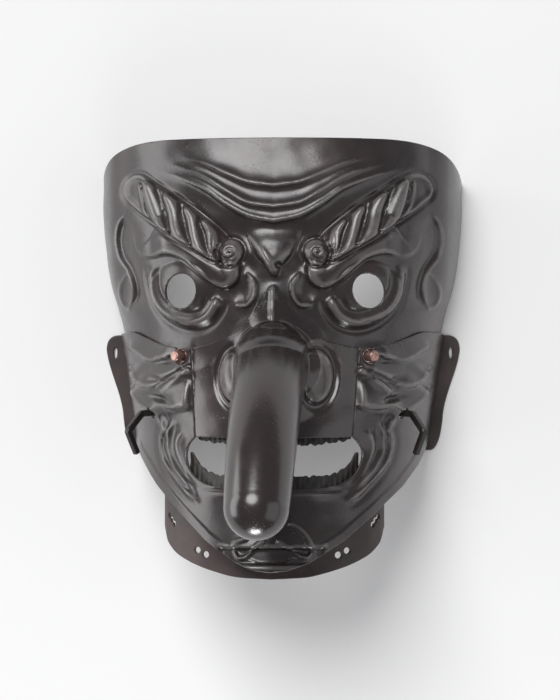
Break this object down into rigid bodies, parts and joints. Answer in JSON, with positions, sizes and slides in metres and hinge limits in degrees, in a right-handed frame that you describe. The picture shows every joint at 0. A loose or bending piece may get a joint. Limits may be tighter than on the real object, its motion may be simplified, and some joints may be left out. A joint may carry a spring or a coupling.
{
  "type": "samurai tengu face guard",
  "caption": "Full iron face mask with twisted brows, pierced eyes, open mouth, long hollow nose and a laced throat plate.",
  "frame": {"origin": "middle of the area that the mask covers, on the surface that its rim and ear flanges rest on", "axes": "+X to the wearer's left, +Y to the forehead, +Z out of the face"},
  "size_m": [0.1924, 0.224, 0.1863],
  "materials": {
    "dark_iron": "satin dark brown-black lacquer over hammered iron",
    "russet_iron": "matt russet brown lacquer",
    "tooth_iron": "rough dark iron with worn edges",
    "copper": "dull pinkish copper",
    "black_iron": "black lacquered iron",
    "flange_iron": "satin brown lacquer"
  },
  "bodies": {
    "root": {"brow_plate": "dark_iron", "jaw_plate": "dark_iron", "nose_plate": "dark_iron", "throat_plate": "russet_iron", "upper_teeth": "tooth_iron", "lower_teeth": "tooth_iron", "left_pin": "copper", "right_pin": "copper", "left_cord_hook": "black_iron", "right_cord_hook": "black_iron", "left_ear_flange": "flange_iron", "right_ear_flange": "flange_iron"}
  },
  "joints": []
}
